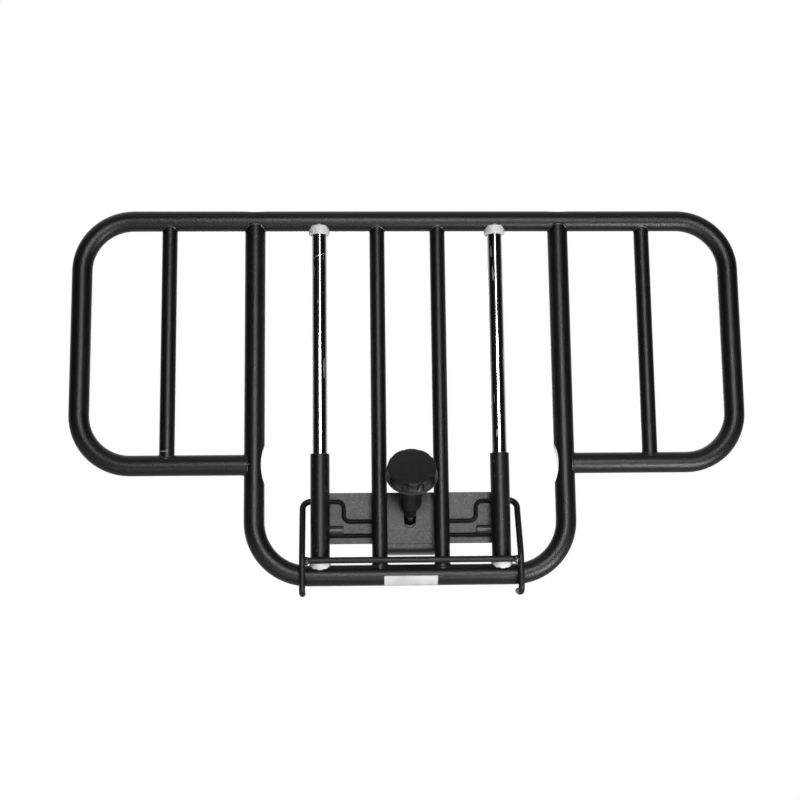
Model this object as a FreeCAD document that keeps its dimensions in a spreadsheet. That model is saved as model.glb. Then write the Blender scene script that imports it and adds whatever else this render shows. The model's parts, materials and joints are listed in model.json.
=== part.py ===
import FreeCAD, Part
import Sketcher

import math
import os

# A half-length side rail for a bed: an upper hoop and a U-shaped frame of bent tube, which slide on
# two chromed guide rods through a clamp-on bracket. A wire bail hooks under the bottom tube and
# holds the rail up, and a screw with a knob clamps the bracket's hook to the bed frame.
#
# Frame: +Z up, +Y towards the bed, X along the rail. The origin is on the hook's floor, at the foot
# of its lip's inner face, half way along the hook. Millimetres and degrees.

SIZES = [
    # rail: two bent tubes, straight bars between them and two guide rods
    ("tube_diameter", 25.4, "outside of the bent tubes"),
    ("tube_wall", 1.5, "wall of the bent tubes"),
    ("hoop_bend", 63.5, "centre-line bend radius of the upper hoop"),
    ("frame_bend", 66.0, "centre-line bend radius of the U frame"),
    ("rail_width", 811.0, "between the centre lines of the outer uprights"),
    ("rail_rise", 444.5, "from the bottom tube's centre line to the top tube's"),
    ("wing_rise", 135.5, "from the bottom tube's centre line to the wings' lower tubes'"),
    ("leg_spacing", 381.4, "between the centre lines of the U frame's legs"),
    ("leg_trim", 6.7, "from the top tube's centre line down to the legs' blunt tops"),
    ("wing_trim", 8.0, "from a leg's centre line out to its wing tube's blunt end"),
    ("press_radius", 70.0, "round press marks that the welding jig leaves"),
    ("top_press_depth", 2.2, "press marks in the top tube, over the legs"),
    ("leg_press_depth", 4.2, "press marks in the legs, opposite the wing tubes"),
    ("wing_bar_inset", 108.1, "from an outer upright's centre line in to its wing bar's"),
    ("center_bar_spacing", 76.0, "between the centre lines of the middle bars"),
    ("rod_inset", 80.2, "from a leg's centre line in to its guide rod's"),
    ("bar_diameter", 19.0, "outside of the straight bars"),
    ("bar_wall", 1.2, "wall of the straight bars"),
    ("rod_diameter", 19.0, "outside of the guide rods"),
    ("rod_wall", 1.5, "wall of the guide rods"),
    # plastic caps that hold the rods' ends in the tubes
    ("cap_diameter", 26.0, "saddle collar of a rod cap"),
    ("cap_height", 5.0, "collar beyond the tube"),
    ("cap_ear_drop", 7.5, "from the tube's centre line to the tips of the saddle's ears"),
    ("cap_plug_diameter", 22.0, "plug of a rod cap, in the tube's hole"),
    ("cap_inset", 4.0, "from the tube's centre line to the plug's closed end"),
    ("cap_end_wall", 2.0, "closed end of a rod cap"),
    ("cap_edge", 1.2, "rounded edges of a rod cap's collar"),
    ("seat_clearance", 0.05, "radial play of what is pressed or dropped into a hole"),
    # bracket: two sleeves on a plate, with a hook and a screw bush behind it
    ("sleeve_diameter", 23.6, "outside of the sliding sleeves"),
    ("sleeve_wall", 1.5, "wall of the sliding sleeves"),
    ("sleeve_length", 127.0, "length of the sliding sleeves"),
    ("sleeve_drop", 18.0, "from the plate's lower edge down to the sleeves' lower ends"),
    ("sleeve_chamfer", 0.6, "outer edges of the sleeves"),
    ("bush_length", 25.0, "plastic bush in each end of a sleeve"),
    ("bush_inset", 1.0, "from a sleeve's end to its bush"),
    ("slide_clearance", 0.05, "radial play of a guide rod in its bushes"),
    ("lift_gap", 3.8, "play between the lower caps and the sleeves with the rail up"),
    ("plate_overhang", 5.5, "from a guide rod's centre line out to the mounting plate's end"),
    ("plate_height", 63.0, "mounting plate"),
    ("plate_thickness", 3.0, "mounting plate"),
    ("plate_corner", 3.0, "corner radius of the mounting plate"),
    ("plate_rise", 7.5, "from the hook's floor to the plate's lower edge"),
    ("slot_width", 15.0, "slot for the screw"),
    ("slot_low", 19.0, "from the plate's lower edge to the slot's lower end"),
    ("slot_high", 47.0, "from the plate's lower edge to the slot's upper end"),
    ("spacer_width", 14.0, "block between a sleeve and the plate"),
    ("spacer_grip", 2.8, "how far a block's saddle reaches round its sleeve"),
    ("spacer_top_drop", 2.5, "from the bail's pivot line to the top of a block"),
    # hook that takes the bed frame's upright flange
    ("hook_width", 76.0, "hook bracket along the rail"),
    ("hook_thickness", 4.0, "hook bracket"),
    ("hook_depth", 41.0, "inside, from front to lip"),
    ("hook_bend", 3.0, "inner bend radius"),
    ("hook_weld", 14.5, "how far the hook's front laps the plate"),
    ("hook_corner", 8.0, "upper corners of the lip"),
    ("lip_height", 30.0, "lip above the hook's floor"),
    # clamp screw, its bush, foot and knob; along the screw, sizes count from the plate's front
    ("screw_tilt", 35.0, "slope of the screw, rising to the front"),
    ("screw_rise", 33.5, "from the plate's lower edge to where the screw crosses its front"),
    ("screw_diameter", 12.0, "clamp screw"),
    ("screw_clearance", 0.05, "radial play of the screw in its bush"),
    ("screw_engaged", 66.0, "how far the screw reaches into the knob"),
    ("neck_diameter", 7.0, "neck behind the screw's ball"),
    ("neck_length", 7.0, "neck from the ball's centre to the thread"),
    ("ball_diameter", 9.0, "ball on the screw's end"),
    ("ball_reach", 33.0, "from the plate's front back to the ball's centre, clamp open"),
    ("bush_diameter", 22.0, "screw bush"),
    ("bush_reach", 24.0, "from the plate's front back to the bush's end"),
    ("mouth_diameter", 14.5, "wide mouth of the bush"),
    ("mouth_reach", 7.0, "from the plate's front back to the end of the mouth"),
    ("foot_diameter", 22.0, "clamp foot's pad"),
    ("foot_thickness", 5.0, "clamp foot's pad"),
    ("foot_depth", 9.0, "from the ball's centre to the pad's face"),
    ("socket_diameter", 16.0, "round hub of the clamp foot"),
    ("socket_clearance", 0.3, "radial play of the ball in its socket"),
    ("socket_mouth", 8.0, "opening that the neck comes out of"),
    ("knob_start", 7.5, "from the plate's front to the tip of the knob's boss"),
    ("tip_diameter", 13.8, "tip of the boss"),
    ("boss_start", 22.0, "where the boss has its full size"),
    ("boss_diameter", 26.4, "boss under the grip"),
    ("boss_round", 4.0, "rounded shoulder of the boss"),
    ("grip_start", 75.5, "underside of the grip"),
    ("grip_diameter", 63.0, "ring round the grip's base"),
    ("ring_height", 3.5, "ring round the grip's base"),
    ("face_edge", 92.0, "edge of the grip's face"),
    ("face_diameter", 58.0, "grip's face"),
    ("face_crown", 94.5, "middle of the grip's domed face"),
    ("grip_round", 2.0, "rounded edge of the grip's face"),
    ("flute_count", 10, "finger recesses round the grip"),
    ("flute_width", 8.7, "finger recess"),
    ("flute_depth_low", 1.5, "finger recess beside the ring, from the ring's edge inwards"),
    ("flute_depth_high", 6.0, "finger recess under the face, from the ring's edge inwards"),
    ("flute_top_gap", 2.6, "face left above a finger recess"),
    # bail and its spring arms, bent from wire
    ("wire_diameter", 7.6, "wire of the bail"),
    ("arm_wire_diameter", 5.0, "wire of the spring arms"),
    ("wire_clearance", 0.1, "play of the wire between a sleeve and the plate"),
    ("pivot_rise", 52.0, "from the plate's lower edge to the bail's pivot line"),
    ("pivot_split", 12.5, "from a guide rod's centre line in to where the pivot meets the spring arm"),
    ("bail_outset", 21.5, "from a guide rod's centre line out to the bail's side wire"),
    ("bail_bend", 10.0, "bend of the bail's shoulders"),
    ("bail_sweep", 20.0, "gentle bend above the crossbar"),
    ("bail_gap", 0.8, "between the bail and the bottom tube"),
    ("sweep_rise", 24.0, "from the bottom tube's centre line to the gentle bend"),
    ("crossbar_rise", 17.4, "from the bottom tube's centre line to the crossbar's"),
    ("hook_drop", 21.5, "from the bottom tube's centre line down to the hooks' wire"),
    ("hook_tip", 5.0, "how far the hooks reach past the bottom tube's centre line"),
    ("hook_round", 8.0, "bend of the bail's hooks"),
    ("arm_bend", 8.0, "bends of the spring arms"),
    ("arm_drop_inset", 28.9, "from a guide rod's centre line in to the spring arm's upright leg"),
    ("arm_inner_spacing", 72.0, "between the spring arms' inner ends"),
    ("arm_run_rise", 27.4, "from the plate's lower edge to the arms' upper inner runs"),
    ("arm_low_rise", 10.1, "from the plate's lower edge to the arms' lower runs"),
    ("clip_inset", 28.5, "from a guide rod's centre line in to the wire clip's inner end"),
    ("clip_length", 18.0, "wire clip"),
    ("clip_thickness", 1.5, "wire clip"),
    ("clip_radius", 5.6, "outside of a clip's curl"),
    ("clip_rise", 6.3, "from the arm's lower run up to the middle of the curl"),
    ("clip_stand", 4.8, "from the plate's front out to the middle of the curl"),
    ("clip_wrap", 70.0, "how far below level the curl goes on"),
    ("wire_end_gap", 1.0, "wire that stands out of a clip's outer end"),
]

doc = FreeCAD.newDocument("bed_side_rail")
sheet = doc.addObject("Spreadsheet::Sheet", "Size")
for row, (alias, number, note) in enumerate(SIZES, start=1):
    sheet.set(f"A{row}", note)
    sheet.set(f"B{row}", str(number))
    sheet.setAlias(f"B{row}", alias)
doc.recompute()

# Places that several pieces share, as expressions on the sheet.
TUBE_R = "(Size.tube_diameter / 2)"
WIRE_R = "(Size.wire_diameter / 2)"
WIRE_GAP = "(Size.wire_diameter + 2 * Size.wire_clearance)"
PLATE_REAR_Y = "(-Size.hook_depth - Size.hook_thickness)"
PLATE_FRONT_Y = f"({PLATE_REAR_Y} - Size.plate_thickness)"
WIRE_Y = f"({PLATE_FRONT_Y} - {WIRE_GAP} / 2)"
RAIL_Y = f"({PLATE_FRONT_Y} - {WIRE_GAP} - Size.sleeve_diameter / 2)"
BAIL_Y = f"({RAIL_Y} - {TUBE_R} - Size.bail_gap - {WIRE_R})"
SLEEVE_LOW_Z = "(Size.plate_rise - Size.sleeve_drop)"
RAIL_LOW_Z = f"({SLEEVE_LOW_Z} - Size.lift_gap - Size.cap_height - {TUBE_R})"
RAIL_HIGH_Z = f"({RAIL_LOW_Z} + Size.rail_rise)"
PIVOT_Z = "(Size.plate_rise + Size.pivot_rise)"
SCREW_Z = "(Size.plate_rise + Size.screw_rise)"
LEG_X = "(Size.leg_spacing / 2)"
ROD_X = f"({LEG_X} - Size.rod_inset)"
PLATE_END_X = f"({ROD_X} + Size.plate_overhang)"
BAIL_X = f"({ROD_X} + Size.bail_outset)"
CLIP_X = f"({ROD_X} - Size.clip_inset)"
SOCKET_DEPTH = "(Size.cap_inset + Size.cap_end_wall)"
SCREW_TURN = "90 - Size.screw_tilt"
SIDES = (("left", -1), ("right", 1))

helpers = []  # bodies that only shape another piece


def value(expression):
    """The number that an expression on the sheet stands for."""
    return float(sheet.evalExpression(expression))


def bind(thing, **expressions):
    """Bind properties to expressions; a double underscore stands for a dot in the property's path."""
    for path, expression in expressions.items():
        thing.setExpression(path.replace("__", "."), str(expression))


def place(thing, x="0", y="0", z="0", turn=None):
    """Bind a placement's position, and its turn about X in degrees."""
    if turn is not None:
        thing.Placement = FreeCAD.Placement(FreeCAD.Vector(), FreeCAD.Rotation(FreeCAD.Vector(1, 0, 0), 1))
        bind(thing, Placement__Rotation__Angle=turn)
    bind(thing, Placement__Base__x=x, Placement__Base__y=y, Placement__Base__z=z)


def new_body(label):
    body = doc.addObject("PartDesign::Body", label)
    body.Label = label
    return body


def new_sketch(body, plane, offset=None):
    """A sketch on one of the body's own origin planes, moved along its normal by an expression."""
    sketch = body.newObject("Sketcher::SketchObject", f"{body.Name}_sketch")
    support = next(item for item in body.Origin.OriginFeatures if item.Role == f"{plane}_Plane")
    sketch.AttachmentSupport = [(support, "")]
    sketch.MapMode = "FlatFace"
    if offset is not None:
        bind(sketch, AttachmentOffset__Base__z=offset)
    return sketch


def dimension(sketch, kind, *target, to):
    """Add a driving dimension that follows an expression."""
    number = sketch.addConstraint(Sketcher.Constraint(kind, *target, value(to)))
    sketch.setExpression(f"Constraints[{number}]", to)


def pin(sketch, geometry, point, x, y):
    """Fix a sketch point's place from the origin."""
    dimension(sketch, "DistanceX", -1, 1, geometry, point, to=x)
    dimension(sketch, "DistanceY", -1, 1, geometry, point, to=y)


def circle(sketch, radius, x="0", y="0"):
    center = FreeCAD.Vector(value(x), value(y), 0)
    number = sketch.addGeometry(Part.Circle(center, FreeCAD.Vector(0, 0, 1), value(radius)), False)
    dimension(sketch, "Radius", number, to=radius)
    pin(sketch, number, 3, x, y)


def arc_between(start, end, axis, center_value):
    """Minor arc from start to end whose centre has the given x or y; also tells if it was flipped."""
    middle = (start + end) * 0.5
    chord = end - start
    if axis == "x":
        center = FreeCAD.Vector(center_value, middle.y - chord.x * (center_value - middle.x) / chord.y, 0)
    else:
        center = FreeCAD.Vector(middle.x - chord.y * (center_value - middle.y) / chord.x, center_value, 0)
    first = math.atan2(start.y - center.y, start.x - center.x)
    last = math.atan2(end.y - center.y, end.x - center.x)
    flipped = (last - first) % (2 * math.pi) > math.pi
    if flipped:
        first, last = last, first
    round_line = Part.Circle(center, FreeCAD.Vector(0, 0, 1), (start - center).Length)
    return Part.ArcOfCircle(round_line, first, last), flipped


def outline(sketch, corners, arcs=None):
    """Closed outline through corners given as pairs of expressions.

    arcs maps a side's number to ("x" or "y", expression): that side is an arc, and this is the
    coordinate of its centre that is set.
    """
    arcs = arcs or {}
    points = [FreeCAD.Vector(value(x), value(y), 0) for x, y in corners]
    ends = []
    for side, start in enumerate(points):
        end = points[(side + 1) % len(points)]
        if side in arcs:
            axis, center = arcs[side]
            arc, flipped = arc_between(start, end, axis, value(center))
            number = sketch.addGeometry(arc, False)
            ends.append((number, 2, 1) if flipped else (number, 1, 2))
            kind = "DistanceX" if axis == "x" else "DistanceY"
            dimension(sketch, kind, -1, 1, number, 3, to=center)
        else:
            number = sketch.addGeometry(Part.LineSegment(start, end), False)
            ends.append((number, 1, 2))
    for side, (number, first, last) in enumerate(ends):
        following, following_first, _ = ends[(side + 1) % len(ends)]
        sketch.addConstraint(Sketcher.Constraint("Coincident", number, last, following, following_first))
    for (number, first, _), (x, y) in zip(ends, corners):
        pin(sketch, number, first, x, y)


def rectangle(sketch, low_x, low_y, high_x, high_y):
    outline(sketch, [(low_x, low_y), (high_x, low_y), (high_x, high_y), (low_x, high_y)])


def bent_route(sketch, corners, bend):
    """Open route of level and upright runs through corners, joined by tangent arcs of one radius."""
    points = [FreeCAD.Vector(value(x), value(y), 0) for x, y in corners]
    radius = value(bend)
    runs, bends = [], []
    start = points[0]
    for before, corner, after in zip(points, points[1:], points[2:]):
        entry = corner - (corner - before).normalize() * radius
        away = (after - corner).normalize() * radius
        leave = corner + away
        runs.append(sketch.addGeometry(Part.LineSegment(start, entry), False))
        arc, flipped = arc_between(entry, leave, "x", (entry + away).x)
        bends.append((sketch.addGeometry(arc, False), flipped))
        start = leave
    runs.append(sketch.addGeometry(Part.LineSegment(start, points[-1]), False))
    for number, (arc, flipped) in enumerate(bends):
        first, last = (2, 1) if flipped else (1, 2)
        sketch.addConstraint(Sketcher.Constraint("Tangent", runs[number], 2, arc, first))
        sketch.addConstraint(Sketcher.Constraint("Tangent", arc, last, runs[number + 1], 1))
        dimension(sketch, "Radius", arc, to=bend)
    for number, run in enumerate(runs):
        level = abs(points[number + 1].y - points[number].y) < abs(points[number + 1].x - points[number].x)
        sketch.addConstraint(Sketcher.Constraint("Horizontal" if level else "Vertical", run))
        x, y = corners[number]
        if level:
            dimension(sketch, "DistanceY", -1, 1, run, 1, to=y)
        else:
            dimension(sketch, "DistanceX", -1, 1, run, 1, to=x)
        if number == 0:
            dimension(sketch, "DistanceX" if level else "DistanceY", -1, 1, run, 1, to=x if level else y)
    level = abs(points[-1].y - points[-2].y) < abs(points[-1].x - points[-2].x)
    x, y = corners[-1]
    dimension(sketch, "DistanceX" if level else "DistanceY", -1, 1, runs[-1], 2, to=x if level else y)


def pad(body, sketch, length, symmetric=False, reverse=False):
    feature = body.newObject("PartDesign::Pad", f"{body.Name}_pad")
    feature.Profile = sketch
    feature.Reversed = reverse
    if symmetric:
        feature.SideType = "Symmetric"
    bind(feature, Length=length)
    return feature


def pocket(body, sketch, length, symmetric=True, reverse=False):
    """Cut; unless it is symmetric it goes against the sketch's normal, or along it if reversed."""
    feature = body.newObject("PartDesign::Pocket", f"{body.Name}_pocket")
    feature.Profile = sketch
    feature.Reversed = reverse
    if symmetric:
        feature.SideType = "Symmetric"
    bind(feature, Length=length)
    return feature


def pipe(body, section, route):
    feature = body.newObject("PartDesign::AdditivePipe", f"{body.Name}_pipe")
    feature.Profile = section
    feature.Spine = (route, [f"Edge{number + 1}" for number in range(len(route.Geometry))])
    feature.Transition = "Transformed"
    return feature


def revolve(body, sketch):
    feature = body.newObject("PartDesign::Revolution", f"{body.Name}_turned")
    feature.Profile = sketch
    feature.ReferenceAxis = (sketch, ["V_Axis"])
    feature.Angle = 360
    return feature


def dress(body, kind, edges, size):
    """Fillet or Chamfer on the edges of the body's tip that a test picks."""
    doc.recompute()
    base = body.Tip
    names = [f"Edge{number}" for number, edge in enumerate(base.Shape.Edges, start=1) if edges(edge)]
    if not names:
        raise RuntimeError(f"{body.Label}: no edge to dress")
    feature = body.newObject(f"PartDesign::{kind}", f"{body.Name}_{kind.lower()}")
    feature.Base = (base, names)
    bind(feature, **{"Radius" if kind == "Fillet" else "Size": size})
    return feature


def parallel(edge, axis):
    """True for a straight edge along the axis."""
    if edge.Degenerated or not isinstance(edge.Curve, Part.Line):
        return False
    return abs(edge.Curve.Direction.dot(axis)) > 0.999


ALONG_X = FreeCAD.Vector(1, 0, 0)
ALONG_Y = FreeCAD.Vector(0, 1, 0)


# ---- rail ----

def boolean(kind, label, base, tool):
    thing = doc.addObject(f"Part::{kind}", label)
    thing.Base, thing.Tool = base, tool
    thing.Label = label
    return thing


def press(label, radius, x, z):
    """Round jaw along Y that presses into a rail tube, with its centre at x, z on the rail."""
    jaw = doc.addObject("Part::Cylinder", label)
    bind(jaw, Radius=radius, Height="2 * Size.tube_diameter")
    place(jaw, x=x, y=f"{RAIL_Y} + Size.tube_diameter", z=f"{RAIL_LOW_Z} + {z}", turn="90")
    return jaw


def with_press_marks(name, tube, core, places):
    """Press two marks into a tube; core is a solid tube inside its wall, and limits the dents' walls."""
    jaws = [press(f"{name}_jaw", "Size.press_radius", x, z) for x, z in places]
    outsides = [press(f"{name}_dent", "Size.press_radius + Size.tube_wall", x, z) for x, z in places]
    dents = boolean("Common", f"{name}_dent_walls", core, boolean("Fuse", f"{name}_dents", *outsides))
    filled = boolean("Fuse", f"{name}_filled", tube, dents)
    boolean("Cut", name, filled, boolean("Fuse", f"{name}_jaws", *jaws))
    helpers.extend([tube, core])


def sweep_rail_tube(label, corners, bend, plane, offset, center):
    """The rail's tube along a bent route, and the solid core that ends inside its wall."""
    made = []
    for name, radii in ((f"{label}_tube", (TUBE_R, f"{TUBE_R} - Size.tube_wall")),
                        (f"{label}_core", (f"{TUBE_R} - Size.tube_wall / 2",))):
        body = new_body(name)
        route = new_sketch(body, "XZ")
        bent_route(route, corners, bend)
        section = new_sketch(body, plane, offset)
        for radius in radii:
            circle(section, radius, *center)
        pipe(body, section, route)
        place(body, y=RAIL_Y, z=RAIL_LOW_Z)
        made.append(body)
    return made


def make_upper_hoop():
    """Top tube and both wings, one tube, with coped ends that are welded to the legs."""
    start = f"({LEG_X} + Size.wing_trim)"
    corners = [(f"-{start}", "Size.wing_rise"), ("-Size.rail_width / 2", "Size.wing_rise"),
               ("-Size.rail_width / 2", "Size.rail_rise"), ("Size.rail_width / 2", "Size.rail_rise"),
               ("Size.rail_width / 2", "Size.wing_rise"), (start, "Size.wing_rise")]
    middle = ("0", "Size.wing_rise")
    tube, core = sweep_rail_tube("hoop", corners, "Size.hoop_bend", "YZ", f"-{start}", middle)
    ends = new_sketch(tube, "XY", "Size.wing_rise")
    for _, side in SIDES:
        circle(ends, TUBE_R, f"{side} * {LEG_X}")
    pocket(tube, ends, "2 * Size.tube_diameter")
    cut_cap_holes(tube, "Size.rail_rise", reverse=False)
    above = f"Size.rail_rise + {TUBE_R} + Size.press_radius - Size.top_press_depth"
    with_press_marks("upper_hoop", tube, core, [(f"{side} * {LEG_X}", above) for _, side in SIDES])


def make_u_frame():
    """Legs and bottom tube, one tube, whose coped tops are welded under the top tube."""
    top = "(Size.rail_rise - Size.leg_trim)"
    corners = [(f"-{LEG_X}", top), (f"-{LEG_X}", "0"), (LEG_X, "0"), (LEG_X, top)]
    tube, core = sweep_rail_tube("frame", corners, "Size.frame_bend", "XY", top, (f"-{LEG_X}",))
    tops = new_sketch(tube, "YZ")
    circle(tops, TUBE_R, "0", "Size.rail_rise")
    pocket(tube, tops, "Size.leg_spacing + 2 * Size.tube_diameter")
    cut_cap_holes(tube, "0", reverse=True)
    inward = f"({LEG_X} - {TUBE_R} - Size.press_radius + Size.leg_press_depth)"
    places = [(f"{side} * {inward}", "Size.wing_rise") for _, side in SIDES]
    with_press_marks("u_frame", tube, core, places)


def cut_cap_holes(body, rise, reverse):
    """Holes for the rod caps' plugs in the near wall of a level tube."""
    holes = new_sketch(body, "XY", rise)
    for _, side in SIDES:
        circle(holes, "Size.cap_plug_diameter / 2 + Size.seat_clearance", f"{side} * {ROD_X}")
    pocket(body, holes, "Size.tube_diameter", symmetric=False, reverse=reverse)


def make_bar(label, x, rise, span):
    """Straight tube whose ends are coped round the tubes below and above it."""
    body = new_body(label)
    section = new_sketch(body, "XY")
    circle(section, "Size.bar_diameter / 2")
    circle(section, "Size.bar_diameter / 2 - Size.bar_wall")
    pad(body, section, span)
    copes = new_sketch(body, "YZ")
    circle(copes, TUBE_R)
    circle(copes, TUBE_R, "0", span)
    pocket(body, copes, "2 * Size.bar_diameter")
    place(body, x=x, y=RAIL_Y, z=f"{RAIL_LOW_Z} + {rise}")


def make_bars():
    wing_bar = "(Size.rail_width / 2 - Size.wing_bar_inset)"
    for name, side in SIDES:
        make_bar(f"{name}_wing_bar", f"{side} * {wing_bar}", "Size.wing_rise",
                 "Size.rail_rise - Size.wing_rise")
        make_bar(f"{name}_center_bar", f"{side} * Size.center_bar_spacing / 2", "0", "Size.rail_rise")


def make_guide_rods():
    for name, side in SIDES:
        body = new_body(f"{name}_guide_rod")
        section = new_sketch(body, "XY")
        circle(section, "Size.rod_diameter / 2")
        circle(section, "Size.rod_diameter / 2 - Size.rod_wall")
        pad(body, section, f"Size.rail_rise - 2 * {SOCKET_DEPTH}")
        place(body, x=f"{side} * {ROD_X}", y=RAIL_Y, z=f"{RAIL_LOW_Z} + {SOCKET_DEPTH}")


def make_rod_cap(label, x, z, turn):
    """Cap whose saddle collar seats on the tube, with a plug in the tube's hole and a blind socket.

    Its own origin is on the tube's centre line, and the rod comes in from below.
    """
    body = new_body(label)
    low = f"-({TUBE_R} + Size.cap_height)"
    collar = new_sketch(body, "XY", low)
    circle(collar, "Size.cap_diameter / 2")
    pad(body, collar, f"{TUBE_R} + Size.cap_height - Size.cap_ear_drop")
    rim = value("Size.cap_diameter / 2")
    dress(body, "Fillet", lambda edge: is_round(edge, rim), "Size.cap_edge")
    saddle = new_sketch(body, "YZ")
    circle(saddle, f"{TUBE_R} + Size.seat_clearance")
    pocket(body, saddle, "2 * Size.cap_diameter")
    plug = new_sketch(body, "XY", low)
    circle(plug, "Size.cap_plug_diameter / 2")
    pad(body, plug, f"{TUBE_R} + Size.cap_height - Size.cap_inset")
    socket = new_sketch(body, "XY", f"-{SOCKET_DEPTH}")
    circle(socket, "Size.rod_diameter / 2 + Size.seat_clearance")
    pocket(body, socket, "2 * Size.tube_diameter", symmetric=False)
    place(body, x=x, y=RAIL_Y, z=z, turn=turn)


def make_rod_caps():
    for name, side in SIDES:
        make_rod_cap(f"{name}_top_cap", f"{side} * {ROD_X}", RAIL_HIGH_Z, None)
        make_rod_cap(f"{name}_bottom_cap", f"{side} * {ROD_X}", RAIL_LOW_Z, "180")


# ---- bracket ----

def make_sleeves():
    """Sliding sleeves, each with a plastic bush near both ends."""
    inner = "(Size.sleeve_diameter / 2 - Size.sleeve_wall)"
    upper = "Size.sleeve_length - Size.bush_inset - Size.bush_length"
    for name, side in SIDES:
        body = new_body(f"{name}_sleeve")
        section = new_sketch(body, "XY")
        circle(section, "Size.sleeve_diameter / 2")
        circle(section, inner)
        pad(body, section, "Size.sleeve_length")
        outer = value("Size.sleeve_diameter / 2")
        dress(body, "Chamfer", lambda edge: is_round(edge, outer), "Size.sleeve_chamfer")
        place(body, x=f"{side} * {ROD_X}", y=RAIL_Y, z=SLEEVE_LOW_Z)
        for end, rise in (("lower", "Size.bush_inset"), ("upper", upper)):
            bush = new_body(f"{name}_{end}_bush")
            ring = new_sketch(bush, "XY")
            circle(ring, inner)
            circle(ring, "Size.rod_diameter / 2 + Size.slide_clearance")
            pad(bush, ring, "Size.bush_length")
            place(bush, x=f"{side} * {ROD_X}", y=RAIL_Y, z=f"{SLEEVE_LOW_Z} + {rise}")


def is_round(edge, radius):
    """True for a full circle of that radius."""
    if edge.Degenerated or not isinstance(edge.Curve, Part.Circle):
        return False
    return abs(edge.Curve.Radius - radius) < 1e-6


def make_mounting_plate():
    body = new_body("mounting_plate")
    face = new_sketch(body, "XZ")
    rectangle(face, f"-{PLATE_END_X}", "0", PLATE_END_X, "Size.plate_height")
    pad(body, face, "Size.plate_thickness", reverse=True)
    dress(body, "Fillet", lambda edge: parallel(edge, ALONG_Y), "Size.plate_corner")
    slot = new_sketch(body, "XZ")
    low, high = "(Size.slot_low + Size.slot_width / 2)", "(Size.slot_high - Size.slot_width / 2)"
    rectangle(slot, "-Size.slot_width / 2", low, "Size.slot_width / 2", high)
    pocket(body, slot, "4 * Size.plate_thickness")
    for end in (low, high):
        round_end = new_sketch(body, "XZ")
        circle(round_end, "Size.slot_width / 2", "0", end)
        pocket(body, round_end, "4 * Size.plate_thickness")
    place(body, y=PLATE_FRONT_Y, z="Size.plate_rise")


def make_spacers():
    """Blocks between sleeves and plate: a saddle round the sleeve and a seat for the bail's pivot."""
    for name, side in SIDES:
        body = new_body(f"{name}_spacer")
        section = new_sketch(body, "XY")
        front = f"-({WIRE_GAP} + Size.spacer_grip)"
        rectangle(section, "-Size.spacer_width / 2", front, "Size.spacer_width / 2", "0")
        pad(body, section, "Size.pivot_rise - Size.spacer_top_drop")
        saddle = new_sketch(body, "XY")
        circle(saddle, "Size.sleeve_diameter / 2", "0", f"-({WIRE_GAP} + Size.sleeve_diameter / 2)")
        pocket(body, saddle, "2 * Size.plate_height")
        seat = new_sketch(body, "YZ")
        circle(seat, f"{WIRE_GAP} / 2", f"-{WIRE_GAP} / 2", "Size.pivot_rise")
        pocket(body, seat, "2 * Size.spacer_width")
        place(body, x=f"{side} * {ROD_X}", y=PLATE_FRONT_Y, z="Size.plate_rise")


def make_spring_arms():
    """Bent wires on the plate's face whose twist returns the bail."""
    for name, side in SIDES:
        body = new_body(f"{name}_spring_arm")
        start = f"{side} * ({ROD_X} - Size.pivot_split)"
        inner = f"{side} * Size.arm_inner_spacing / 2"
        end = f"{side} * ({CLIP_X} + Size.clip_length + Size.wire_end_gap)"
        drop = f"{side} * ({ROD_X} - Size.arm_drop_inset)"
        route = new_sketch(body, "XZ")
        corners = [(start, "Size.pivot_rise"), (drop, "Size.pivot_rise"), (drop, "Size.arm_run_rise"),
                   (inner, "Size.arm_run_rise"), (inner, "Size.arm_low_rise"), (end, "Size.arm_low_rise")]
        bent_route(route, corners, "Size.arm_bend")
        section = new_sketch(body, "YZ", start)
        circle(section, "Size.arm_wire_diameter / 2", "0", "Size.pivot_rise")
        pipe(body, section, route)
        place(body, y=WIRE_Y, z="Size.plate_rise")


def make_wire_clips():
    """Tabs welded to the plate and curled down over the spring arms' ends."""
    radius, inside = "Size.clip_radius", "(Size.clip_radius - Size.clip_thickness)"
    level, out, wrap = "Size.clip_rise", "-Size.clip_stand", "Size.clip_wrap"
    lip = [(f"{out} - {size} * cos({wrap})", f"{level} - {size} * sin({wrap})")
           for size in (radius, inside)]
    for name, side in SIDES:
        body = new_body(f"{name}_wire_clip")
        curl = new_sketch(body, "YZ")
        corners = [("0", f"{level} + {radius}"), (out, f"{level} + {radius}"), *lip,
                   (out, f"{level} + {inside}"), ("0", f"{level} + {inside}")]
        outline(curl, corners, {1: ("y", level), 3: ("y", level)})
        pad(body, curl, "Size.clip_length", symmetric=True)
        place(body, x=f"{side} * ({CLIP_X} + Size.clip_length / 2)", y=PLATE_FRONT_Y,
              z="Size.plate_rise + Size.arm_low_rise")


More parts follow.
